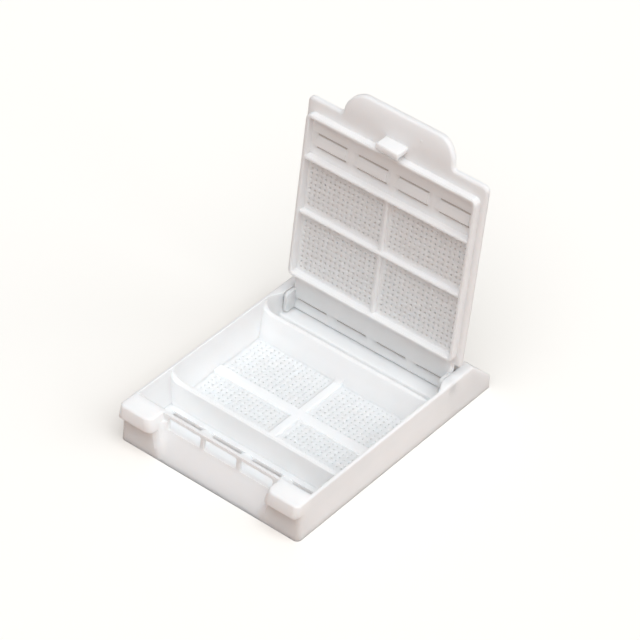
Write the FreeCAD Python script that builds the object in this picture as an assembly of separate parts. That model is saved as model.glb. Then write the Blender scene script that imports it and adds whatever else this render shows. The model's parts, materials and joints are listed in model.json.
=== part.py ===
import FreeCAD, Part
import math
import os

# Tissue cassette: a perforated base and a hinged lid, each one white acetal moulding.
# Millimetres. Origin at the bottom centre of the base, +Z up, -Y the writing face, +Y the hinge.
# The lid is modelled closed and then swung up about the hinge axis to stand open.

# Base, overall
base_length = 40.0
base_width = 28.3
base_height = 6.2
floor_thickness = 0.8
corner_radius = 0.7
top_edge_radius = 0.3

# Base, side walls (upright outside, drafted inside)
side_wall_top = 0.45
side_wall_foot = 0.95
wall_inner_edge_radius = 0.1

# Base, front wall with its windows, and the sloping writing face
front_wall_setback = 1.85
front_wall_thickness = 0.5
front_wall_drop = 0.1
writing_wall = 0.8
writing_edge_radius = 1.3
window_count = 3
window_bar = 0.5
window_end_margin = 0.9
window_height = 1.8
window_corner_radius = 0.25
window_rail = 0.5
window_sill = 0.15

# Base, corner blocks beside the writing face, each with an overhanging lip
block_width_top = 4.95
block_width_foot = 6.35
block_edge_bevel = 0.6
block_blend_radius = 0.9
lip_overhang = 1.1
lip_thickness = 2.3
lip_end_radius = 1.1
lip_lower_bevel = 0.45
lip_lean = 0.35
block_core_wall = 0.9
block_core_rear_wall = 0.3
block_core_top_gap = 1.0

# Base, specimen tray
front_bay_length = 8.7
tray_wall_thickness = 0.8
tray_wall_drop = 1.6
tray_wall_end_radius = 1.3
tray_wall_edge_bevel = 0.2
tray_rear_from_rear = 13.6
tray_rear_lean = 0.85
floor_rib_width = 1.6
floor_spine_width = 1.2
floor_rib_height = 0.3
floor_rib_edge_bevel = 0.12
buttress_width = 1.1
buttress_length = 0.8
buttress_height = 1.1

# Base, rear: a step that the open lid stands on, posts with blind bores, wall and bevel
step_from_rear = 9.85
step_draft = 0.5
step_edge_radius = 0.2
rear_wall_thickness = 1.05
bevel_length = 4.6
rear_land_height = 2.05
rear_land_draft = 0.15
rear_shell = 0.8
post_width = 1.35
post_start_from_rear = 11.5
post_full_from_rear = 9.5

# Hinge
hinge_from_rear = 8.8
hinge_below_top = 1.08
hinge_above_step = 2.32
pin_diameter = 1.1
pin_length = 0.8
pin_radial_clearance = 0.08
pin_end_clearance = 0.15
open_angle = 92.22

# Lid plate
lid_thickness = 0.85
lid_seat_gap = 0.05
lid_side_margin = 0.25
lid_corner_radius = 0.8
lid_shoulder_radius = 0.3
lid_narrow_gap = 0.1
lid_narrow_from_hinge = 2.55
lid_inner_edge_radius = 0.4
lid_outer_edge_bevel = 0.2
heel_gap = 0.05

# Lid frame: a rim and bars on the inner face that drop into the base
frame_width = 0.55
frame_depth = 1.1
frame_side_gap = 0.5
frame_front_gap = 0.1
frame_rear_from_hinge = 3.55
frame_corner_radius = 0.8
frame_edge_bevel = 0.15
middle_bar_depth = 0.8
middle_bar_offset = 0.35
lid_spine_width = 0.6
lid_spine_depth = 0.5

# Lid hinge flanges: low walls along the foot's sides, which carry the pins
flange_thickness = 0.45
flange_ahead_of_hinge = 1.0
flange_below_hinge = 0.7
flange_heel_gap = 0.15
flange_corner_radius = 0.6

# Lid, finger tab and latch tongue
tab_width = 17.0
tab_length = 3.4
tab_rise = 0.7
tab_corner_radius = 3.0
tab_root_radius = 0.5
tongue_width = 3.5
tongue_thickness = 0.7
tongue_depth = 2.2
tongue_edge_bevel = 0.15
tongue_wall_gap = 0.5
barb_gap = 0.1
barb_height = 0.5

# Slots: each is narrow, with a shallow flared pocket that runs up towards the hinge or window side
slot_columns = 4
slot_side_margin = 0.4
slot_gap = 1.8
slot_flare = 0.7
base_slot_from_wall = 1.15
base_slot_width = 0.55
base_pocket_length = 1.6
base_pocket_depth = 0.25
lid_slot_width = 0.4
lid_pocket_depth = 0.35
lid_pocket_land = 0.1
lid_slot_rows = 2
lid_slot_pitch = 1.95
lid_slot_from_bar = 1.2
heel_slot_from_hinge = 0.5
heel_pocket_length = 1.3

# Perforated panels: a grid of square holes in each of the four panels of base and lid
hole_size = 0.8
hole_pitch_x = 1.48
base_hole_pitch_y = 1.5
lid_hole_pitch_y = 1.65
panel_margin = 0.15

# Places worked out from the sizes above
half_width = base_width / 2
side_inner_top = half_width - side_wall_top
side_inner_foot = half_width - side_wall_foot
base_front_y = -base_length / 2
base_rear_y = base_length / 2
front_wall_y = base_front_y + front_wall_setback
front_wall_inner_y = front_wall_y + front_wall_thickness
front_wall_top_z = base_height - front_wall_drop
window_top_z = front_wall_top_z - window_rail
writing_top_z = window_top_z - window_height - window_sill
block_inner_top = half_width - block_width_top
block_inner_foot = half_width - block_width_foot
window_row = 2 * (block_inner_top - window_end_margin)
window_width = (window_row - (window_count - 1) * window_bar) / window_count
lip_y = base_front_y - lip_overhang
lip_low_z = base_height - lip_thickness
tray_front_outer_y = base_front_y + front_bay_length
tray_front_y = tray_front_outer_y + tray_wall_thickness
tray_rear_y = base_rear_y - tray_rear_from_rear
tray_top_z = base_height - tray_wall_drop
tray_middle_y = (tray_front_y + tray_rear_y) / 2
rear_top_y = base_rear_y - bevel_length
rear_wall_y = rear_top_y - rear_wall_thickness
step_y = base_rear_y - step_from_rear
hinge_y = base_rear_y - hinge_from_rear
hinge_z = base_height - hinge_below_top
step_top_z = hinge_z - hinge_above_step
post_inner_x = half_width - post_width
slot_pitch = 2 * (side_inner_foot - slot_side_margin) / slot_columns
slot_length = slot_pitch - slot_gap
lid_inner_z = base_height + lid_seat_gap
lid_outer_z = lid_inner_z + lid_thickness
lid_front_y = front_wall_y - tongue_wall_gap - tongue_thickness
lid_shoulder_y = hinge_y - lid_narrow_from_hinge
frame_rear_y = hinge_y - frame_rear_from_hinge
lid_bar_y = tray_front_outer_y + frame_width / 2
lid_middle_y = tray_middle_y - middle_bar_offset

# How far cutting solids run past the surface that they cut
past = 1.0
small = 1e-6


def prism_yz(points, x_min, x_max):
    """Solid with a closed outline of (y, z) points, drawn out along X."""
    corners = [FreeCAD.Vector(x_min, y, z) for y, z in points]
    face = Part.Face(Part.makePolygon(corners + corners[:1]))
    return face.extrude(FreeCAD.Vector(x_max - x_min, 0, 0))


def prism_xz(points, y_min, y_max):
    """Solid with a closed outline of (x, z) points, drawn out along Y."""
    corners = [FreeCAD.Vector(x, y_min, z) for x, z in points]
    face = Part.Face(Part.makePolygon(corners + corners[:1]))
    return face.extrude(FreeCAD.Vector(0, y_max - y_min, 0))


def prism_xy(points, z_min, z_max):
    """Solid with a closed outline of (x, y) points, drawn out along Z."""
    corners = [FreeCAD.Vector(x, y, z_min) for x, y in points]
    face = Part.Face(Part.makePolygon(corners + corners[:1]))
    return face.extrude(FreeCAD.Vector(0, 0, z_max - z_min))


def block(x_min, x_max, y_min, y_max, z_min, z_max):
    size = (x_max - x_min, y_max - y_min, z_max - z_min)
    return Part.makeBox(*size, FreeCAD.Vector(x_min, y_min, z_min))


def tapered(lower, lower_z, upper, upper_z):
    """Solid between two level rectangles, each (x_min, x_max, y_min, y_max)."""
    front_view = [(lower[0], lower_z), (lower[1], lower_z), (upper[1], upper_z), (upper[0], upper_z)]
    side_view = [(lower[2], lower_z), (lower[3], lower_z), (upper[3], upper_z), (upper[2], upper_z)]
    y_range = (min(lower[2], upper[2]), max(lower[3], upper[3]))
    x_range = (min(lower[0], upper[0]), max(lower[1], upper[1]))
    return prism_xz(front_view, *y_range).common(prism_yz(side_view, *x_range))


def mirrored(shape):
    """The shape and its mirror image across the middle plane."""
    return [shape, shape.mirror(FreeCAD.Vector(0, 0, 0), FreeCAD.Vector(1, 0, 0))]


def rounded(shape, radius, wanted):
    """The shape with every edge that the test accepts rounded."""
    return shape.makeFillet(radius, [edge for edge in shape.Edges if wanted(edge.BoundBox)])


def bevelled(shape, size, wanted):
    """The shape with every edge that the test accepts bevelled."""
    return shape.makeChamfer(size, [edge for edge in shape.Edges if wanted(edge.BoundBox)])


def upright(box):
    return box.XLength < small and box.YLength < small


def along_x(y, z):
    """Test for a straight edge along X at this place in the side view."""
    def test(box):
        straight = box.YLength < small and box.ZLength < small
        return straight and abs(box.YMin - y) < small and abs(box.ZMin - z) < small
    return test


def level_at(z):
    """Test for an edge that lies flat at this height."""
    return lambda box: box.ZLength < small and abs(box.ZMin - z) < small


def column_centres():
    middle = (slot_columns - 1) / 2
    return [(column - middle) * slot_pitch for column in range(slot_columns)]


def flared_slot(x, y, width, pocket_end_y, face_z, pocket_z, far_z):
    """Slot through a plate, and the pocket whose floor and ends rise from it to the plate's face."""
    half_length = slot_length / 2
    half_width_y = width / 2
    slot = block(
        x - half_length, x + half_length, y - half_width_y, y + half_width_y,
        *sorted((face_z, far_z)),
    )
    steep_y = y + math.copysign(half_width_y, y - pocket_end_y)
    half_mouth = half_length + slot_flare
    mouth = (x - half_mouth, x + half_mouth, *sorted((steep_y, pocket_end_y)))
    floor = (x - half_length, x + half_length, y - half_width_y, y + half_width_y)
    if face_z > pocket_z:
        return [slot, tapered(floor, pocket_z, mouth, face_z)]
    return [slot, tapered(mouth, face_z, floor, pocket_z)]


def fitted(room, pitch):
    """Number of holes at this pitch that fit in the room between two ribs."""
    return int((room - 2 * panel_margin - hole_size) / pitch + small) + 1


def hole_grid(x_range, y_range, pitch_y, z_range):
    """Square holes centred in one panel, and the same in the panel across the middle plane."""
    columns = fitted(x_range[1] - x_range[0], hole_pitch_x)
    rows = fitted(y_range[1] - y_range[0], pitch_y)
    first_x = (sum(x_range) - (columns - 1) * hole_pitch_x - hole_size) / 2
    first_y = (sum(y_range) - (rows - 1) * pitch_y - hole_size) / 2
    holes = []
    for row in range(rows):
        y = first_y + row * pitch_y
        for column in range(columns):
            x = first_x + column * hole_pitch_x
            holes += mirrored(block(x, x + hole_size, y, y + hole_size, *z_range))
    return holes


def base_outer():
    """Outer form: the side view drawn across the width, rounded along its top and rear."""
    side_view = [
        (base_front_y, 0),
        (base_rear_y, 0),
        (base_rear_y - rear_land_draft, rear_land_height),
        (rear_top_y, base_height),
        (base_front_y, base_height),
    ]
    body = prism_yz(side_view, -half_width, half_width)
    body = rounded(body, corner_radius, lambda box: upright(box) and box.YMax < 0)

    def above_ground(box):
        front_corner = box.YMax < base_front_y + corner_radius + small and box.ZMin < base_height - small
        return box.ZMax > small and not front_corner

    return rounded(body, top_edge_radius, above_ground)


def front_recess():
    """Space in front of the writing face and front wall, between the two corner blocks."""
    slope = (front_wall_y - base_front_y) / writing_top_z
    far_y = lip_y - past
    in_front = [
        (far_y, -past),
        (base_front_y - slope * past, -past),
        (front_wall_y, writing_top_z),
        (front_wall_y, base_height + past),
        (far_y, base_height + past),
    ]
    space = prism_yz(in_front, -half_width, half_width)
    space = rounded(space, writing_edge_radius, along_x(front_wall_y, writing_top_z))
    flare = (block_inner_top - block_inner_foot) / base_height
    low_x = block_inner_foot - flare * past
    high_x = block_inner_top + flare * past
    across = [
        (-low_x, -past),
        (low_x, -past),
        (high_x, base_height + past),
        (-high_x, base_height + past),
    ]
    space = space.common(prism_xz(across, far_y, base_rear_y))

    return rounded(space, block_blend_radius, lambda box: box.YMin > far_y + small and box.ZLength > small)


def block_lip():
    """Rounded lip that overhangs the front of a corner block."""
    flare = (block_inner_top - block_inner_foot) / base_height
    low_x = block_inner_foot + flare * lip_low_z
    lower = (low_x, half_width, lip_y, front_wall_y)
    upper = (block_inner_top, half_width, lip_y + lip_lean, front_wall_y)
    lip = tapered(lower, lip_low_z, upper, base_height)

    def front_corner(box):
        return box.YMax < lip_y + lip_lean + small and box.ZLength > lip_thickness / 2

    def outline_at(z):
        return lambda box: level_at(z)(box) and box.YMin < front_wall_y - small

    lip = rounded(lip, corner_radius, lambda box: front_corner(box) and box.XMin > half_width - small)
    lip = rounded(lip, lip_end_radius, lambda box: front_corner(box) and box.XMax < block_inner_top + small)
    lip = rounded(lip, top_edge_radius, outline_at(base_height))
    return bevelled(lip, lip_lower_bevel, outline_at(lip_low_z))


def interior():
    """Hollow of the base between front wall and rear wall, with drafted side faces."""
    foot = (-side_inner_foot, side_inner_foot)
    top = (-side_inner_top, side_inner_top)
    y_range = (base_front_y, rear_wall_y)
    drafted = tapered((*foot, *y_range), floor_thickness, (*top, *y_range), base_height)
    drafted = drafted.fuse(block(*top, *y_range, base_height, base_height + past))
    slope = (front_wall_y - base_front_y) / writing_top_z
    foot_y = base_front_y + writing_wall / math.cos(math.atan(slope)) + floor_thickness * slope
    side_view = [
        (foot_y, floor_thickness),
        (step_y - step_draft, floor_thickness),
        (step_y, step_top_z),
        (rear_wall_y, step_top_z),
        (rear_wall_y, base_height + past),
        (front_wall_inner_y, base_height + past),
        (front_wall_inner_y, writing_top_z),
    ]
    hollow = prism_yz(side_view, -half_width, half_width)
    hollow = rounded(hollow, step_edge_radius, along_x(step_y, step_top_z))
    return drafted.common(hollow)


def tray_wall(side_view):
    """Cross wall of the tray, whose rounded top edge sweeps up into the side walls."""
    ys = [y for y, z in side_view]
    y_range = (min(ys) - past, max(ys) + past)
    slab = prism_yz(side_view, -half_width, half_width)
    radius = tray_wall_end_radius
    inner_x = side_inner_foot + (side_inner_top - side_inner_foot) * tray_top_z / base_height
    outline = block(-half_width, half_width, *y_range, 0, tray_top_z)
    corner = block(inner_x - radius, half_width, *y_range, tray_top_z, tray_top_z + radius)
    axis_start = FreeCAD.Vector(inner_x - radius, y_range[0], tray_top_z + radius)
    length = y_range[1] - y_range[0]
    corner = corner.cut(Part.makeCylinder(radius, length, axis_start, FreeCAD.Vector(0, 1, 0)))
    wall = slab.common(outline.fuse(mirrored(corner)).removeSplitter())

    def swept_edge(box):
        return box.ZMin > tray_top_z - small and box.XLength > tray_wall_end_radius / 2 \
            and max(abs(box.XMin), abs(box.XMax)) < inner_x + small

    return bevelled(wall, tray_wall_edge_bevel, swept_edge)


def tray_walls():
    top_z = tray_top_z + tray_wall_end_radius
    front_view = [
        (tray_front_outer_y, 0),
        (tray_front_y, 0),
        (tray_front_y, top_z),
        (tray_front_outer_y, top_z),
    ]
    slope = tray_rear_lean / (tray_top_z - floor_thickness)
    foot_y = tray_rear_y - slope * floor_thickness
    rear_view = [
        (foot_y, 0),
        (foot_y + tray_wall_thickness, 0),
        (foot_y + slope * top_z + tray_wall_thickness, top_z),
        (foot_y + slope * top_z, top_z),
    ]
    return [tray_wall(front_view), tray_wall(rear_view)]


def floor_ribs():
    """Low cross rib and spine that divide the tray floor into four panels, and the buttress."""
    top_z = floor_thickness + floor_rib_height
    rib_y = (tray_middle_y - floor_rib_width / 2, tray_middle_y + floor_rib_width / 2)
    spine_y = (tray_front_outer_y + tray_wall_thickness / 2, tray_rear_y + tray_wall_thickness / 2)
    rib = block(-half_width + side_wall_top, half_width - side_wall_top, *rib_y, 0, top_z)
    spine = block(-floor_spine_width / 2, floor_spine_width / 2, *spine_y, 0, top_z)
    ribs = rib.fuse(spine).removeSplitter()
    ribs = bevelled(ribs, floor_rib_edge_bevel, level_at(top_z))
    ramp = [
        (tray_rear_y - buttress_length, floor_thickness),
        (tray_rear_y + tray_wall_thickness / 2, floor_thickness),
        (tray_rear_y + tray_wall_thickness / 2, floor_thickness + buttress_height),
    ]
    return [ribs, prism_yz(ramp, -buttress_width / 2, buttress_width / 2)]


def hinge_posts():
    """Posts that thicken the side walls beside the lid's foot; each starts as a wedge."""
    embedded_x = side_inner_top + (side_wall_top - top_edge_radius) / 2
    embedded_y = rear_wall_y + (rear_wall_thickness - top_edge_radius) / 2
    plan = [
        (post_inner_x, base_rear_y - post_full_from_rear),
        (side_inner_top, base_rear_y - post_start_from_rear),
        (embedded_x, base_rear_y - post_start_from_rear),
        (embedded_x, embedded_y),
        (post_inner_x, embedded_y),
    ]
    return mirrored(prism_xy(plan, floor_thickness / 2, base_height))


def windows():
    """Row of windows through the front wall, under its top rail."""
    pitch = window_width + window_bar
    y_range = (front_wall_y - past / 2, front_wall_inner_y + past / 2)
    cuts = []
    for column in range(window_count):
        x = (column - (window_count - 1) / 2) * pitch
        z_range = (window_top_z - window_height, window_top_z)
        window = block(x - window_width / 2, x + window_width / 2, *y_range, *z_range)
        cuts.append(rounded(window, window_corner_radius, lambda box: box.YLength > small))
    return cuts


def underside_hollows():
    """Hollows open below: under the step and rear bevel, and up into the corner blocks."""
    bevel_height = base_height - rear_land_height
    run = bevel_length - rear_land_draft
    drop = rear_shell * math.hypot(run, bevel_height) / run
    inner_y = rear_wall_y + rear_shell
    land_y = base_rear_y - rear_land_draft - rear_shell

    def under_bevel(y):
        return base_height - (y - rear_top_y) * bevel_height / run - drop

    side_view = [
        (step_y + rear_shell, -past),
        (step_y + rear_shell, step_top_z - rear_shell),
        (inner_y, step_top_z - rear_shell),
        (inner_y, under_bevel(inner_y)),
        (land_y, under_bevel(land_y)),
        (land_y, -past),
    ]
    half = half_width - rear_shell
    wall = block_core_wall
    core_x = (block_inner_top + wall / 2, half_width - wall)
    core_y = (base_front_y + wall, front_wall_y - block_core_rear_wall)
    core = block(*core_x, *core_y, -past, lip_low_z - block_core_top_gap)
    return [prism_yz(side_view, -half, half)] + mirrored(core)


def hinge_bores():
    radius = pin_diameter / 2 + pin_radial_clearance
    depth = lid_narrow_gap + pin_length + pin_end_clearance
    start = FreeCAD.Vector(post_inner_x, hinge_y, hinge_z)
    return mirrored(Part.makeCylinder(radius, depth, start, FreeCAD.Vector(1, 0, 0)))


def base_panels():
    """Holes of the four floor panels between spine, ribs and walls."""
    z_range = (-past, floor_thickness + floor_rib_height / 2)
    x_range = (floor_spine_width / 2, side_inner_foot)
    half_rib = floor_rib_width / 2
    front = (tray_front_y, tray_middle_y - half_rib)
    rear = (tray_middle_y + half_rib, tray_rear_y)
    return [hole for y_range in (front, rear)
            for hole in hole_grid(x_range, y_range, base_hole_pitch_y, z_range)]


def base_slots():
    y = tray_front_outer_y - base_slot_from_wall
    pocket_end_y = y - base_slot_width / 2 - base_pocket_length
    pocket_z = floor_thickness - base_pocket_depth
    cuts = []
    for x in column_centres():
        cuts += flared_slot(x, y, base_slot_width, pocket_end_y, floor_thickness, pocket_z, -past)
    return cuts


def make_base():
    above_lip = block(
        -half_width - past, half_width + past, lip_y - past, front_wall_y,
        (lip_low_z + base_height) / 2, base_height + past,
    )
    base = base_outer().cut([above_lip, front_recess()])

    def block_front_edge(box):
        return box.YLength < small and abs(box.YMin - base_front_y) < small \
            and box.ZLength > lip_thickness and max(abs(box.XMin), abs(box.XMax)) < block_inner_top

    base = bevelled(base, block_edge_bevel, block_front_edge)
    base = base.fuse(mirrored(block_lip())).cut(interior())
    base = base.fuse(tray_walls() + floor_ribs() + hinge_posts())
    rail_top = block(
        -block_inner_top, block_inner_top, front_wall_y - past, front_wall_inner_y + past / 2,
        front_wall_top_z, base_height + past,
    )
    cuts = [rail_top] + windows() + underside_hollows() + hinge_bores() + base_slots() + base_panels()
    base = base.cut(cuts).removeSplitter()

    def side_wall_edge(box):
        inside = max(abs(box.XMin), abs(box.XMax)) < side_inner_top + small
        between = front_wall_y < box.YMin and box.YMax < rear_wall_y - small
        return level_at(base_height)(box) and inside and between and box.XLength < post_width

    return rounded(base, wall_inner_edge_radius, side_wall_edge)


def heel_length():
    """Length behind the hinge that leaves the heel just clear of the step when open."""
    lean = math.radians(open_angle - 90)
    above_step = hinge_above_step - heel_gap
    plate_drop = (lid_outer_z - hinge_z) * math.sin(lean)
    return (above_step - plate_drop) / math.cos(lean)


def plate_side_view():
    """Side view of the plate: flat, with the tab curving up off the base and past its tip."""
    bend_radius = (tab_length ** 2 + tab_rise ** 2) / (2 * tab_rise)
    bend = math.asin((tab_length + past) / (bend_radius - lid_thickness))
    centre_z = lid_inner_z + bend_radius

    def on_bend(radius, angle):
        return FreeCAD.Vector(
            -half_width, lid_front_y - radius * math.sin(angle), centre_z - radius * math.cos(angle))

    angles = (0, bend / 2, bend)
    inner = [on_bend(bend_radius, angle) for angle in angles]
    outer = [on_bend(bend_radius - lid_thickness, angle) for angle in angles]
    heel_y = hinge_y + heel_length()
    inner_heel = FreeCAD.Vector(-half_width, heel_y, lid_inner_z)
    outer_heel = FreeCAD.Vector(-half_width, heel_y, lid_outer_z)
    edges = [
        Part.LineSegment(inner_heel, inner[0]),
        Part.Arc(*inner),
        Part.LineSegment(inner[2], outer[2]),
        Part.Arc(*reversed(outer)),
        Part.LineSegment(outer[0], outer_heel),
        Part.LineSegment(outer_heel, inner_heel),
    ]
    face = Part.Face(Part.Wire([edge.toShape() for edge in edges]))
    return face.extrude(FreeCAD.Vector(base_width, 0, 0))


def outline_edges(shape, inner):
    """Edges around the inner or the outer face of the lid plate, tab included."""
    middle_z = (lid_inner_z + lid_outer_z) / 2
    broad = [face for face in shape.Faces if face.Area > tab_width * tab_length / 2]
    faces = [face for face in broad if (face.CenterOfMass.z < middle_z) == inner]
    edges = [edge for face in faces for edge in face.Edges]
    return [edge for edge in edges if sum(edge.isSame(other) for other in edges) == 1]


def plate():
    """Lid plate with softened edges: wide part, narrower foot between the posts, and tab."""
    wide = half_width - lid_side_margin
    narrow = post_inner_x - lid_narrow_gap
    z_range = (lid_inner_z - past, lid_outer_z + tab_rise + past)
    heel_y = hinge_y + heel_length()
    middle = block(-wide, wide, lid_front_y, lid_shoulder_y, *z_range)
    middle = rounded(middle, lid_corner_radius, lambda box: upright(box) and box.YMax < 0)
    middle = rounded(middle, lid_shoulder_radius, lambda box: upright(box) and box.YMin > 0)
    foot = block(-narrow, narrow, lid_shoulder_y - past, heel_y, *z_range)
    half_tab = tab_width / 2

    def on_tab_root(box):
        return abs(box.YMin - lid_front_y) < small and abs(abs(box.XMin) - half_tab) < small

    tab = block(-half_tab, half_tab, lid_front_y - tab_length, lid_front_y + past, *z_range)
    tab = rounded(tab, tab_corner_radius, lambda box: upright(box) and box.YMax < lid_front_y)
    outline = middle.fuse([foot, tab]).removeSplitter()
    outline = rounded(outline, tab_root_radius, lambda box: upright(box) and on_tab_root(box))
    shape = outline.common(plate_side_view()).removeSplitter()
    shape = shape.makeFillet(lid_inner_edge_radius, outline_edges(shape, inner=True))
    return shape.makeChamfer(lid_outer_edge_bevel, outline_edges(shape, inner=False))


def frame():
    """Raised rim and cross bars inside the lid, with rounded tips, and the low spine."""
    outer_x = side_inner_top - frame_side_gap
    inner_x = outer_x - frame_width
    front = front_wall_inner_y + frame_front_gap
    embedded_z = lid_inner_z + lid_thickness / 2
    tip_z = lid_inner_z - frame_depth
    rim = block(-outer_x, outer_x, front, frame_rear_y, tip_z, embedded_z)
    rim = rounded(rim, frame_corner_radius, upright)
    well = block(
        -inner_x, inner_x, front + frame_width, frame_rear_y - frame_width,
        tip_z - past, embedded_z + past,
    )
    well = rounded(well, frame_corner_radius - frame_width, upright)
    half_bar = frame_width / 2
    bar_x = (-outer_x + half_bar, outer_x - half_bar)
    bar = block(*bar_x, lid_bar_y - half_bar, lid_bar_y + half_bar, tip_z, embedded_z)
    rim = rim.cut(well).fuse(bar).removeSplitter()
    rim = bevelled(rim, frame_edge_bevel, level_at(tip_z))
    middle_z = lid_inner_z - middle_bar_depth
    middle = block(*bar_x, lid_middle_y - half_bar, lid_middle_y + half_bar, middle_z, embedded_z)
    middle = bevelled(middle, frame_edge_bevel, lambda box: level_at(middle_z)(box) and box.YLength < small)
    spine_x = (-lid_spine_width / 2, lid_spine_width / 2)
    spine_z = lid_inner_z - lid_spine_depth
    spine = block(*spine_x, lid_bar_y, frame_rear_y - half_bar, spine_z, embedded_z)
    spine = bevelled(spine, frame_edge_bevel, lambda box: level_at(spine_z)(box) and box.XLength < small)
    return [rim, middle, spine]


def hinge_flanges():
    """Walls along the sides of the lid's foot, rounded to clear the step, each with its pin."""
    outer_x = post_inner_x - lid_narrow_gap
    y_range = (hinge_y - flange_ahead_of_hinge, hinge_y + heel_length() - flange_heel_gap)
    low_z = hinge_z - flange_below_hinge
    wall = block(outer_x - flange_thickness, outer_x, *y_range, low_z, lid_inner_z + lid_thickness / 2)
    wall = rounded(wall, flange_corner_radius, lambda box: level_at(low_z)(box) and box.YLength < small)
    pin_start = FreeCAD.Vector(outer_x - flange_thickness / 2, hinge_y, hinge_z)
    pin_reach = flange_thickness / 2 + pin_length
    pin = Part.makeCylinder(pin_diameter / 2, pin_reach, pin_start, FreeCAD.Vector(1, 0, 0))
    return mirrored(wall.fuse(pin))


def latch_tongue():
    """Tongue behind the tab that drops in front of the front wall, with a barb for the window."""
    rear_y = front_wall_y - tongue_wall_gap
    front_y = rear_y - tongue_thickness
    tip_z = lid_inner_z - tongue_depth
    embedded_z = lid_inner_z + lid_thickness / 2
    side_view = [
        (front_y, embedded_z),
        (front_y, tip_z),
        (rear_y, tip_z),
        (front_wall_y - barb_gap, tip_z + barb_height / 2),
        (rear_y, tip_z + barb_height),
        (rear_y, embedded_z),
    ]
    tongue = prism_yz(side_view, -tongue_width / 2, tongue_width / 2)

    def tip_or_upright(box):
        return box.ZMax < tip_z + small or box.ZLength > tongue_depth

    return bevelled(tongue, tongue_edge_bevel, tip_or_upright)


def lid_slots():
    """Slot rows in front of the cross bar, and one row in the lid's heel."""
    pocket_z = lid_inner_z + lid_pocket_depth
    far_z = lid_outer_z + past
    bar_front_y = lid_bar_y - frame_width / 2
    rows = []
    behind_y = bar_front_y
    for row in range(lid_slot_rows):
        y = bar_front_y - lid_slot_from_bar - row * lid_slot_pitch
        rows.append((y, behind_y))
        behind_y = y - lid_slot_width / 2 - lid_pocket_land
    heel_y = hinge_y + heel_slot_from_hinge
    rows.append((heel_y, heel_y + lid_slot_width / 2 + heel_pocket_length))
    cuts = []
    for y, pocket_end_y in rows:
        for x in column_centres():
            cuts += flared_slot(x, y, lid_slot_width, pocket_end_y, lid_inner_z, pocket_z, far_z)
    return cuts


def lid_panels():
    """Holes of the four lid panels between spine, bars and rim."""
    z_range = (lid_inner_z - lid_spine_depth / 2, lid_outer_z + past)
    half_bar = frame_width / 2
    x_range = (lid_spine_width / 2, side_inner_top - frame_side_gap - frame_width)
    front = (lid_bar_y + half_bar, lid_middle_y - half_bar)
    rear = (lid_middle_y + half_bar, frame_rear_y - frame_width)
    return [hole for y_range in (front, rear)
            for hole in hole_grid(x_range, y_range, lid_hole_pitch_y, z_range)]


def make_lid():
    lid = plate().fuse(frame() + [latch_tongue()]).cut(lid_slots() + lid_panels())
    lid = lid.fuse(hinge_flanges()).removeSplitter()
    axis_point = FreeCAD.Vector(0, hinge_y, hinge_z)
    lid.rotate(axis_point, FreeCAD.Vector(1, 0, 0), -open_angle)
    return lid


def main():
    os.makedirs("parts", exist_ok=True)
    pieces = {"base": make_base(), "lid": make_lid()}
    for name, shape in pieces.items():
        shape.exportStep(f"parts/{name}.step")
        box = shape.BoundBox
        print(name, "valid", shape.isValid(), "solids", len(shape.Solids), "volume", round(shape.Volume, 2))
        print("  x", round(box.XMin, 2), round(box.XMax, 2), "y", round(box.YMin, 2), round(box.YMax, 2),
              "z", round(box.ZMin, 2), round(box.ZMax, 2))


main()
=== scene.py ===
import json
import math

import bmesh
import bpy
from mathutils import Matrix, Vector


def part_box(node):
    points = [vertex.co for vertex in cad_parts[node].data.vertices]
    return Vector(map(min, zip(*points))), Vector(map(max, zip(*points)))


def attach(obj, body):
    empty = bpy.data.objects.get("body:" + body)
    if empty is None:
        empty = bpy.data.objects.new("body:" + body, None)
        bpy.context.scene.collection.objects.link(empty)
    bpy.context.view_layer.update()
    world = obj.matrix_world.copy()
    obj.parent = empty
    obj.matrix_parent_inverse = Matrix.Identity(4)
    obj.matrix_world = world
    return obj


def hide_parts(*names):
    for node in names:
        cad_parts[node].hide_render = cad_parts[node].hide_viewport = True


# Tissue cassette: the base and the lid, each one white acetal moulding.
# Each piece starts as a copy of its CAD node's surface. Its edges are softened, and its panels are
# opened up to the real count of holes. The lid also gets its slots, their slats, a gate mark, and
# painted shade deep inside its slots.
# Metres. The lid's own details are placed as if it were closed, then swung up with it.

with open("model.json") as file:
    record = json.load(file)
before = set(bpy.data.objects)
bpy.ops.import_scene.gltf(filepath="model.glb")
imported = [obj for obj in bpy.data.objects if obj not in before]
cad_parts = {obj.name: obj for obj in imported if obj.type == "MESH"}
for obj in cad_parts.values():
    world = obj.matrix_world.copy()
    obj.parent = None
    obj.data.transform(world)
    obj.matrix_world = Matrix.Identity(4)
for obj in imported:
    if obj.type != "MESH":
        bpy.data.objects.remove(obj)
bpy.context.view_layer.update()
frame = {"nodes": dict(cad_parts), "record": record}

MM = 0.001
base_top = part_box("base")[1].z
hinge = frame["record"]["behaviour"]["joints"][0]
hinge_point = Vector(hinge["pos_m"])
open_angle = math.radians(hinge["range_deg"][1])

# Base: its floor, and the tray's four panels either side of the spine and the cross rib
FLOOR_TOP = 0.8 * MM
BASE_SPINE_HALF = 0.6 * MM
BASE_PANEL_OUTER = 13.2 * MM
BASE_PANEL_ROWS = ((-10.5 * MM, -2.85 * MM), (-1.25 * MM, 6.4 * MM))
BASE_HOLE_PITCH = (0.738 * MM, 0.747 * MM)
BASE_HOLE_SIZE = 0.18 * MM

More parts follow.
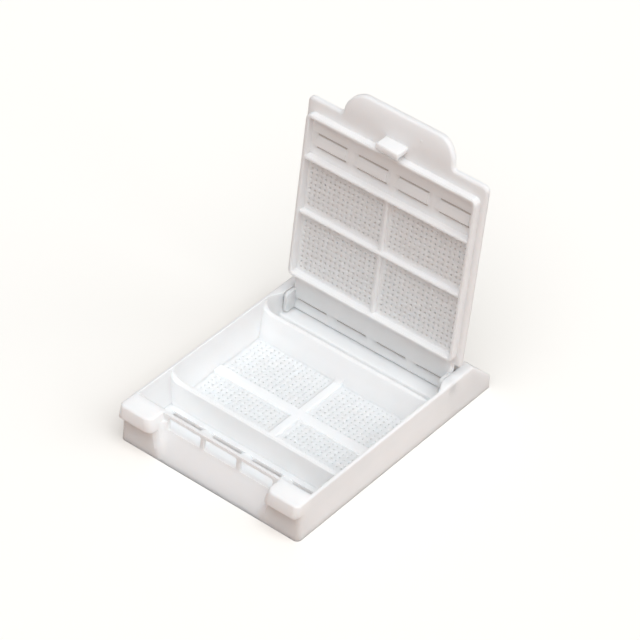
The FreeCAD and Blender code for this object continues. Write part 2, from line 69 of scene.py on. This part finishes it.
# Lid, closed: its inner and outer faces, and the four panels inside its frame
LID_CLEARANCE = 0.05 * MM
LID_THICKNESS = 0.85 * MM
LID_INNER = base_top + LID_CLEARANCE
LID_OUTER = LID_INNER + LID_THICKNESS
LID_SPINE_HALF = 0.3 * MM
LID_PANEL_OUTER = 12.65 * MM
LID_PANEL_ROWS = ((-10.75 * MM, -2.675 * MM), (-2.125 * MM, 7.1 * MM))
LID_HOLE_PITCH = (0.735 * MM, 0.8 * MM)
LID_HOLE_SIZE = 0.3 * MM

# Plates of holes: the softening of a hole's rims, how far a plate's faces lie below those round it,
# how far inside the panel the cut for it stays, how far it runs past that cut, and the least width of
# its border without holes
HOLE_SOFTNESS = 0.08 * MM
PLATE_RECESS = 0.04 * MM
PLATE_MARGIN = 0.05 * MM
PLATE_OVERLAP = 0.04 * MM
PLATE_BORDER = 0.05 * MM

# Lid, closed: three rows of slots, whose faces deeper than the shade depth below get painted shade,
# and slats between the front two rows, each sunk at its front edge and raised at its rear one
SLOT_PITCH = 6.4 * MM
SLOT_COUNT = 4
SLOT_HALF_LENGTH = 2.3 * MM
SLOT_ROWS = ((-14.65 * MM, -14.25 * MM), (-12.7 * MM, -12.2 * MM), (11.5 * MM, 11.97 * MM))
SLOT_PAINTED_SHADE_DEPTH = 0.12 * MM
SLAT_FRONT = SLOT_ROWS[0][1]
SLAT_REAR = SLOT_ROWS[1][0]
SLAT_SINK = 0.1 * MM
SLAT_RISE = 0.1 * MM

# Moulding gate's mark on the inner face of the lid's tab
GATE_PLACE = (3.4 * MM, -21.05 * MM)
GATE_RADIUS = 0.28 * MM
GATE_TAPER = 0.6
GATE_HEIGHT = 0.1 * MM
GATE_SIDES = 24

# Both mouldings: welding and flattening of the CAD surface, softening of its edges, the angle up to
# which it is shaded smooth, and the width of the slivers that are taken out
WELD_DISTANCE = 0.0002 * MM
FLAT_ANGLE = math.radians(1)
EDGE_SOFTNESS = 0.07 * MM
EDGE_SEGMENTS = 2
EDGE_ANGLE = math.radians(40)
SMOOTH_ANGLE = math.radians(35)
SLIVER_WIDTH = 0.00005 * MM

# White acetal: its colour, roughness and bump vary with noises of these scales and details, and each
# pair of values is spread over the middle of a noise's range
CLOUD_NOISE = (160, 3)
CLOUD_COLOURS = ((0.895, 0.9, 0.9), (0.92, 0.925, 0.925))
SHEEN_NOISE = (700, 4)
SHEEN_ROUGHNESS = ((0.42, 0.42, 0.42), (0.54, 0.54, 0.54))
TEXTURE_NOISE = (4500, 3)
TEXTURE_STRENGTH = 0.12
TEXTURE_DEPTH = 0.02 * MM
NOISE_MIDDLE = (0.35, 0.65)
SUBSURFACE_WEIGHT = 0.9
SUBSURFACE_RADIUS = (1, 0.9, 0.85)
SUBSURFACE_SCALE = 1.5 * MM

# Faces inside the lid's slots carry this attribute, and their colour is multiplied by this one:
# painted shade
SLOT_PAINTED_SHADE_ATTRIBUTE = "in_painted_slot_shade"
SLOT_PAINTED_SHADE_COLOUR = (0.72, 0.69, 0.67)

# Sockets of a Mix node for colours, which share their names with those for numbers
MIX_FIRST = 6
MIX_SECOND = 7
MIX_RESULT = 2

# Floor as it is seen, and the colour that it throws back on the object
FLOOR_COLOUR = (0.96, 0.945, 0.905)
FLOOR_BOUNCE = (0.42, 0.305, 0.25)
FLOOR_ROUGHNESS = 0.9
FLOOR_HALF_SIZE = 3

# Overhead soft box
SKY_HORIZON = (0.24, 0.155, 0.11)
SKY_ZENITH = (0.95, 0.975, 1)
SKY_STRENGTH = 0.57

# Lamps: the direction that the light comes from, strength, softness in degrees, and colour
OVERHEAD_LAMP = ((0.26, -0.37, 0.9), 1.95, 60, (0.98, 0.985, 1))
SIDE_LAMP = ((1, 0.25, 0.4), 1.02, 60, (0.94, 0.985, 1))

# Camera: viewing direction, distance and framing of a 640 by 640 image
CAMERA_AZIMUTH = math.radians(34.34)
CAMERA_ELEVATION = math.radians(39.34)
CAMERA_ROLL = math.radians(5.74)
CAMERA_DISTANCE = 0.4668
CAMERA_LENS = 206.9
CAMERA_SENSOR = 36
CAMERA_CLIP_START = 0.01
CAMERA_AIM = Vector((-0.00155, 0.01169))


def link(piece):
    bpy.context.scene.collection.objects.link(piece)
    return piece


def mesh_piece(name, bm):
    mesh = bpy.data.meshes.new(name)
    bm.to_mesh(mesh)
    bm.free()
    return link(bpy.data.objects.new(name, mesh))


def lid_swing():
    """Turn about the hinge from the closed lid to the open one."""
    turn = Matrix.Rotation(-open_angle, 4, "X")
    return Matrix.Translation(hinge_point) @ turn @ Matrix.Translation(-hinge_point)


def applied(piece):
    """The piece with its modifiers made into its mesh."""
    depsgraph = bpy.context.evaluated_depsgraph_get()
    mesh = bpy.data.meshes.new_from_object(piece.evaluated_get(depsgraph))
    piece.modifiers.clear()
    piece.data = mesh
    return piece


def copied_surface(node):
    """New piece with the welded surface of a CAD node, flat faces made whole."""
    piece = link(bpy.data.objects.new(f"{node}_moulding", frame["nodes"][node].data.copy()))
    piece.data.materials.clear()
    bm = bmesh.new()
    bm.from_mesh(piece.data)
    bmesh.ops.remove_doubles(bm, verts=bm.verts, dist=WELD_DISTANCE)
    bmesh.ops.dissolve_limit(
        bm, angle_limit=FLAT_ANGLE, verts=bm.verts, edges=bm.edges, delimit=set())
    bm.to_mesh(piece.data)
    bm.free()
    return piece


def soften_edges(piece):
    bevel = piece.modifiers.new("soft_edges", "BEVEL")
    bevel.width = EDGE_SOFTNESS
    bevel.segments = EDGE_SEGMENTS
    bevel.limit_method = "ANGLE"
    bevel.angle_limit = EDGE_ANGLE
    bevel.miter_outer = "MITER_SHARP"
    return applied(piece)


def combine(piece, other, operation):
    """Boolean of the piece with another one, which is then removed."""
    boolean = piece.modifiers.new("boolean", "BOOLEAN")
    boolean.operation = operation
    boolean.object = other
    boolean.solver = "MANIFOLD"
    applied(piece)
    bpy.data.objects.remove(other)


def cutter(low, high, place):
    """Plain box, used only to cut with."""
    bm = bmesh.new()
    bmesh.ops.create_cube(bm, size=1)
    size = Vector(high) - Vector(low)
    middle = (Vector(high) + Vector(low)) / 2
    bm.transform(place @ Matrix.Translation(middle) @ Matrix.Diagonal((*size, 1)))
    return mesh_piece("cutter", bm)


def grid_lines(low, high, pitch):
    """Lines of a grid of whole cells centred between low and high, with low and high themselves."""
    count = int((high - low - 2 * PLATE_BORDER) / pitch)
    first = (low + high - count * pitch) / 2
    return [low] + [first + index * pitch for index in range(count + 1)] + [high]


def cell_corners(layer, row, column):
    """The four vertices of one cell of a layer, anticlockwise."""
    near, far = layer[row], layer[row + 1]
    return near[column], near[column + 1], far[column + 1], far[column]


def ring(bm, centre, half, z):
    """Vertices of a square with cut corners, two at each, anticlockwise."""
    x, y = centre
    inner = half - HOLE_SOFTNESS
    points = (
        (x - half, y - inner), (x - inner, y - half),
        (x + inner, y - half), (x + half, y - inner),
        (x + half, y + inner), (x + inner, y + half),
        (x - inner, y + half), (x - half, y + inner),
    )
    return [bm.verts.new((*point, z)) for point in points]


def bridge(bm, first, second):
    """Faces between two rings."""
    for index in range(len(first)):
        following = (index + 1) % len(first)
        bm.faces.new((first[index], first[following], second[following], second[index]))


def surround(bm, square, rim):
    """Faces between the corners of a cell and the ring inside it."""
    for index in range(4):
        here, there = 2 * index, (2 * index + 2) % 8
        bm.faces.new((square[index], rim[here + 1], rim[here]))
        bm.faces.new((square[index], square[(index + 1) % 4], rim[there], rim[here + 1]))


def add_hole(bm, squares, centre, half, z_range):
    """Cell with a hole through it, from its lower square to its upper one."""
    low, high = z_range
    rings = [
        ring(bm, centre, half + HOLE_SOFTNESS, low),
        ring(bm, centre, half, low + HOLE_SOFTNESS),
        ring(bm, centre, half, high - HOLE_SOFTNESS),
        ring(bm, centre, half + HOLE_SOFTNESS, high),
    ]
    surround(bm, squares[0], rings[0])
    surround(bm, squares[1], rings[-1])
    for first, second in zip(rings, rings[1:]):
        bridge(bm, first, second)


def add_side_walls(bm, low, high):
    """Faces round the plate, between the outer lines of its two layers."""
    for line_low, line_high in (
        (low[0], high[0]),
        (low[-1], high[-1]),
        ([row[0] for row in low], [row[0] for row in high]),
        ([row[-1] for row in low], [row[-1] for row in high]),
    ):
        for index in range(len(line_low) - 1):
            bm.faces.new((
                line_low[index], line_low[index + 1], line_high[index + 1], line_high[index]))


def perforated_plate(x_range, y_range, z_range, pitch, hole, place):
    """Closed plate with a grid of square holes, and none in the outermost cells."""
    xs = grid_lines(*x_range, pitch[0])
    ys = grid_lines(*y_range, pitch[1])
    last_column, last_row = len(xs) - 2, len(ys) - 2
    bm = bmesh.new()
    low, high = [[[bm.verts.new((x, y, z)) for x in xs] for y in ys] for z in z_range]
    for row in range(last_row + 1):
        for column in range(last_column + 1):
            squares = [cell_corners(layer, row, column) for layer in (low, high)]
            if row in (0, last_row) or column in (0, last_column):
                bm.faces.new(reversed(squares[0]))
                bm.faces.new(squares[1])
            else:
                centre = ((xs[column] + xs[column + 1]) / 2, (ys[row] + ys[row + 1]) / 2)
                add_hole(bm, squares, centre, hole / 2, z_range)
    add_side_walls(bm, low, high)
    bmesh.ops.recalc_face_normals(bm, faces=bm.faces)
    bm.transform(place)
    return mesh_piece("plate", bm)


def panel_ranges(inner_x, outer_x, rows):
    """Ranges in x and y of the panels of each row, on both sides of the middle plane."""
    sides = (inner_x, outer_x), (-outer_x, -inner_x)
    return [(x_range, y_range) for y_range in rows for x_range in sides]


def open_panels(piece, ranges, z_range, pitch, hole, place):
    """Cut each panel out of the piece and put a plate with the real count of holes in its place."""
    past = (z_range[1] - z_range[0]) / 2
    edge = PLATE_MARGIN - PLATE_OVERLAP
    for (x_low, x_high), (y_low, y_high) in ranges:
        low = (x_low + PLATE_MARGIN, y_low + PLATE_MARGIN, z_range[0] - past)
        high = (x_high - PLATE_MARGIN, y_high - PLATE_MARGIN, z_range[1] + past)
        combine(piece, cutter(low, high, place), "DIFFERENCE")
        plate = perforated_plate(
            (x_low + edge, x_high - edge), (y_low + edge, y_high - edge),
            (z_range[0] + PLATE_RECESS, z_range[1] - PLATE_RECESS), pitch, hole, place)
        combine(piece, plate, "UNION")


def slot_middles():
    return [(column - (SLOT_COUNT - 1) / 2) * SLOT_PITCH for column in range(SLOT_COUNT)]


def cut_slots(piece, place):
    """Slots as wide as the photograph shows them, through the lid."""
    past = LID_OUTER - LID_INNER
    for y_low, y_high in SLOT_ROWS:
        for x in slot_middles():
            low = (x - SLOT_HALF_LENGTH, y_low, LID_INNER - past)
            high = (x + SLOT_HALF_LENGTH, y_high, LID_OUTER + past)
            combine(piece, cutter(low, high, place), "DIFFERENCE")


def slat(x_middle, place):
    """Slat of one pair of slots: its face slopes from a sunk edge to a raised one."""
    middle_z = (LID_INNER + LID_OUTER) / 2
    profile = [
        (SLAT_FRONT, LID_INNER + SLAT_SINK), (SLAT_REAR, LID_INNER - SLAT_RISE),
        (SLAT_REAR, middle_z), (SLAT_FRONT, middle_z),
    ]
    bm = bmesh.new()
    ends = [[bm.verts.new((x_middle + side * SLOT_HALF_LENGTH, y, z)) for y, z in profile]
            for side in (-1, 1)]
    bm.faces.new(ends[0])
    bm.faces.new(reversed(ends[1]))
    bridge(bm, ends[1], ends[0])
    bmesh.ops.recalc_face_normals(bm, faces=bm.faces)
    bm.transform(place)
    return soften_edges(mesh_piece("slat", bm))


def add_slats(piece, place):
    for middle in slot_middles():
        combine(piece, slat(middle, place), "UNION")


def add_gate_mark(piece, place):
    """Low round nub where the plastic entered the mould."""
    start = place @ Vector((*GATE_PLACE, 0))
    towards = place.to_3x3() @ Vector((0, 0, 1))
    hit, point, normal, _ = piece.ray_cast(start, towards)
    if not hit:
        return
    bm = bmesh.new()
    bmesh.ops.create_cone(
        bm, cap_ends=True, segments=GATE_SIDES, radius1=GATE_RADIUS,
        radius2=GATE_RADIUS * GATE_TAPER, depth=2 * GATE_HEIGHT)
    bm.transform(Matrix.Translation(point) @ normal.to_track_quat("Z", "Y").to_matrix().to_4x4())
    combine(piece, mesh_piece("gate_mark", bm), "UNION")


def in_painted_slot_shade(point):
    """Whether a point of the closed lid lies on a face deep inside a slot, where shade is painted."""
    off_middle = min(abs(point.x - middle) for middle in slot_middles())
    return (
        off_middle < SLOT_HALF_LENGTH + WELD_DISTANCE
        and LID_INNER + SLOT_PAINTED_SHADE_DEPTH < point.z < LID_OUTER - WELD_DISTANCE
        and any(low - WELD_DISTANCE < point.y < high + WELD_DISTANCE for low, high in SLOT_ROWS))


def mark_painted_slot_shade(piece, place):
    """Give every face the attribute of the slots' painted shade: 1 inside a slot, 0 elsewhere."""
    back = place.inverted()
    mark = piece.data.attributes.new(SLOT_PAINTED_SHADE_ATTRIBUTE, "FLOAT", "FACE")
    for face in piece.data.polygons:
        mark.data[face.index].value = in_painted_slot_shade(back @ face.center)


def drop_slivers(piece):
    """Take out the needle-thin faces that booleans leave where two surfaces lie together."""
    bm = bmesh.new()
    bm.from_mesh(piece.data)
    bmesh.ops.dissolve_degenerate(bm, dist=SLIVER_WIDTH, edges=bm.edges)
    loose = [edge for edge in bm.edges if not edge.link_faces]
    bmesh.ops.delete(bm, geom=loose, context="EDGES")
    bm.to_mesh(piece.data)
    bm.free()


def shade(piece):
    """Smooth shading that stays flat on flat faces and sharp at sharp edges, then triangles."""
    piece.data.shade_smooth()
    piece.data.set_sharp_from_angle(angle=SMOOTH_ANGLE)
    normals = piece.modifiers.new("flat_faces", "WEIGHTED_NORMAL")
    normals.keep_sharp = True
    triangles = piece.modifiers.new("triangles", "TRIANGULATE")
    triangles.quad_method = "BEAUTY"
    triangles.keep_custom_normals = True
    return applied(piece)


def make_base():
    piece = soften_edges(copied_surface("base"))
    ranges = panel_ranges(BASE_SPINE_HALF, BASE_PANEL_OUTER, BASE_PANEL_ROWS)
    open_panels(
        piece, ranges, (0, FLOOR_TOP), BASE_HOLE_PITCH, BASE_HOLE_SIZE, Matrix.Identity(4))
    drop_slivers(piece)
    return shade(piece)


def make_lid():
    piece = soften_edges(copied_surface("lid"))
    swing = lid_swing()
    ranges = panel_ranges(LID_SPINE_HALF, LID_PANEL_OUTER, LID_PANEL_ROWS)
    open_panels(piece, ranges, (LID_INNER, LID_OUTER), LID_HOLE_PITCH, LID_HOLE_SIZE, swing)
    cut_slots(piece, swing)
    add_slats(piece, swing)
    add_gate_mark(piece, swing)
    drop_slivers(piece)
    # Faces deep inside the slots are marked for painted shade
    mark_painted_slot_shade(piece, swing)
    return shade(piece)


def new_material(name):
    material = bpy.data.materials.new(name)
    material.use_nodes = True
    nodes = material.node_tree.nodes
    return material, nodes, material.node_tree.links, nodes["Principled BSDF"]


def noise(nodes, links, coordinates, scale, detail):
    texture = nodes.new("ShaderNodeTexNoise")
    texture.inputs["Scale"].default_value = scale
    texture.inputs["Detail"].default_value = detail
    links.new(coordinates, texture.inputs["Vector"])
    return texture.outputs["Fac"]


def ramp(nodes, links, factor, low, high):
    """Colour ramp between two values over the middle of a noise's range."""
    colours = nodes.new("ShaderNodeValToRGB")
    for element, position, colour in zip(colours.color_ramp.elements, NOISE_MIDDLE, (low, high)):
        element.position = position
        element.color = (*colour, 1)
    links.new(factor, colours.inputs["Fac"])
    return colours.outputs["Color"]


def colour_mix(nodes, links, factor, second):
    """Mix node that goes from its first colour to the second by the factor."""
    mix = nodes.new("ShaderNodeMix")
    mix.data_type = "RGBA"
    mix.inputs[MIX_SECOND].default_value = (*second, 1)
    links.new(factor, mix.inputs["Factor"])
    return mix


def with_painted_slot_shade(nodes, links, colour):
    """The colour, multiplied by a warm dark one on the faces inside the lid's slots: painted shade.
    """
    inside = nodes.new("ShaderNodeAttribute")
    inside.attribute_name = SLOT_PAINTED_SHADE_ATTRIBUTE
    mix = colour_mix(nodes, links, inside.outputs["Fac"], SLOT_PAINTED_SHADE_COLOUR)
    mix.blend_type = "MULTIPLY"
    links.new(colour, mix.inputs[MIX_FIRST])
    return mix.outputs[MIX_RESULT]


def white_acetal():
    """Satin white moulded acetal: faint flow clouding, uneven sheen and a fine mould texture, with
    painted shade on the faces deep inside the lid's slots.
    """
    material, nodes, links, shader = new_material("white_acetal")
    coordinates = nodes.new("ShaderNodeTexCoord").outputs["Object"]
    colour = ramp(nodes, links, noise(nodes, links, coordinates, *CLOUD_NOISE), *CLOUD_COLOURS)
    # The base colour carries painted shade inside the lid's slots
    links.new(with_painted_slot_shade(nodes, links, colour), shader.inputs["Base Color"])
    sheen = noise(nodes, links, coordinates, *SHEEN_NOISE)
    links.new(ramp(nodes, links, sheen, *SHEEN_ROUGHNESS), shader.inputs["Roughness"])
    bump = nodes.new("ShaderNodeBump")
    bump.inputs["Strength"].default_value = TEXTURE_STRENGTH
    bump.inputs["Distance"].default_value = TEXTURE_DEPTH
    links.new(noise(nodes, links, coordinates, *TEXTURE_NOISE), bump.inputs["Height"])
    links.new(bump.outputs["Normal"], shader.inputs["Normal"])
    shader.inputs["Subsurface Weight"].default_value = SUBSURFACE_WEIGHT
    shader.inputs["Subsurface Radius"].default_value = SUBSURFACE_RADIUS
    shader.inputs["Subsurface Scale"].default_value = SUBSURFACE_SCALE
    return material


def seen_directly(nodes, links):
    """1 for camera, glossy and transmission rays, which see the background, and 0 for the rest."""
    rays = nodes.new("ShaderNodeLightPath")
    seen = rays.outputs["Is Camera Ray"]
    for name in ("Is Glossy Ray", "Is Transmission Ray"):
        larger = nodes.new("ShaderNodeMath")
        larger.operation = "MAXIMUM"
        links.new(seen, larger.inputs[0])
        links.new(rays.outputs[name], larger.inputs[1])
        seen = larger.outputs["Value"]
    return seen


def floor_material():
    """Pale paper that keeps the object's shadow, and throws little light back up."""
    material, nodes, links, shader = new_material("floor")
    mix = colour_mix(nodes, links, seen_directly(nodes, links), FLOOR_COLOUR)
    mix.inputs[MIX_FIRST].default_value = (*FLOOR_BOUNCE, 1)
    links.new(mix.outputs[MIX_RESULT], shader.inputs["Base Color"])
    shader.inputs["Roughness"].default_value = FLOOR_ROUGHNESS
    shader.inputs["Specular IOR Level"].default_value = 0
    return material


def make_floor():
    bm = bmesh.new()
    bmesh.ops.create_grid(bm, x_segments=1, y_segments=1, size=FLOOR_HALF_SIZE)
    floor = mesh_piece("floor", bm)
    floor.data.materials.append(floor_material())


def sun(name, source, strength, softness, colour):
    """Distant soft lamp whose light comes from the direction given."""
    data = bpy.data.lights.new(name, "SUN")
    data.energy = strength
    data.angle = math.radians(softness)
    data.color = colour
    lamp = link(bpy.data.objects.new(name, data))
    lamp.rotation_euler = Vector(source).to_track_quat("Z", "Y").to_euler()


def make_sky():
    """Soft box overhead: bright and cool at the zenith, dim and warm at the horizon."""
    world = bpy.data.worlds.new("studio")
    world.use_nodes = True
    nodes, links = world.node_tree.nodes, world.node_tree.links
    direction = nodes.new("ShaderNodeTexCoord").outputs["Generated"]
    height = nodes.new("ShaderNodeSeparateXYZ")
    links.new(direction, height.inputs["Vector"])
    sky = nodes.new("ShaderNodeValToRGB")
    for element, colour in zip(sky.color_ramp.elements, (SKY_HORIZON, SKY_ZENITH)):
        element.color = (*colour, 1)
    links.new(height.outputs["Z"], sky.inputs["Fac"])
    links.new(sky.outputs["Color"], nodes["Background"].inputs["Color"])
    nodes["Background"].inputs["Strength"].default_value = SKY_STRENGTH
    bpy.context.scene.world = world


def make_lights():
    make_sky()
    sun("overhead_lamp", *OVERHEAD_LAMP)
    sun("side_lamp", *SIDE_LAMP)


def camera_axes():
    """Directions to the right, up and back of the camera, with its roll."""
    a, e, r = CAMERA_AZIMUTH, CAMERA_ELEVATION, CAMERA_ROLL
    back = Vector((math.sin(a) * math.cos(e), -math.cos(a) * math.cos(e), math.sin(e)))
    level = Vector((math.cos(a), math.sin(a), 0))
    upright = back.cross(level)
    right = level * math.cos(r) + upright * math.sin(r)
    up = upright * math.cos(r) - level * math.sin(r)
    return right, up, back


def make_camera():
    right, up, back = camera_axes()
    place = right * -CAMERA_AIM.x + up * CAMERA_AIM.y + back * CAMERA_DISTANCE
    data = bpy.data.cameras.new("camera")
    data.lens = CAMERA_LENS
    data.sensor_width = CAMERA_SENSOR
    data.clip_start = CAMERA_CLIP_START
    camera = link(bpy.data.objects.new("camera", data))
    axes = Matrix((right, up, back)).transposed().to_4x4()
    camera.matrix_world = Matrix.Translation(place) @ axes
    bpy.context.scene.camera = camera


def place_piece(piece, body, material):
    piece.data.materials.clear()
    piece.data.materials.append(material)
    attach(piece, body)
    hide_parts(body)


def main():
    make_camera()
    make_lights()
    make_floor()
    bpy.context.scene.view_settings.view_transform = "Standard"
    acetal = white_acetal()
    place_piece(make_base(), "base", acetal)
    place_piece(make_lid(), "lid", acetal)


main()
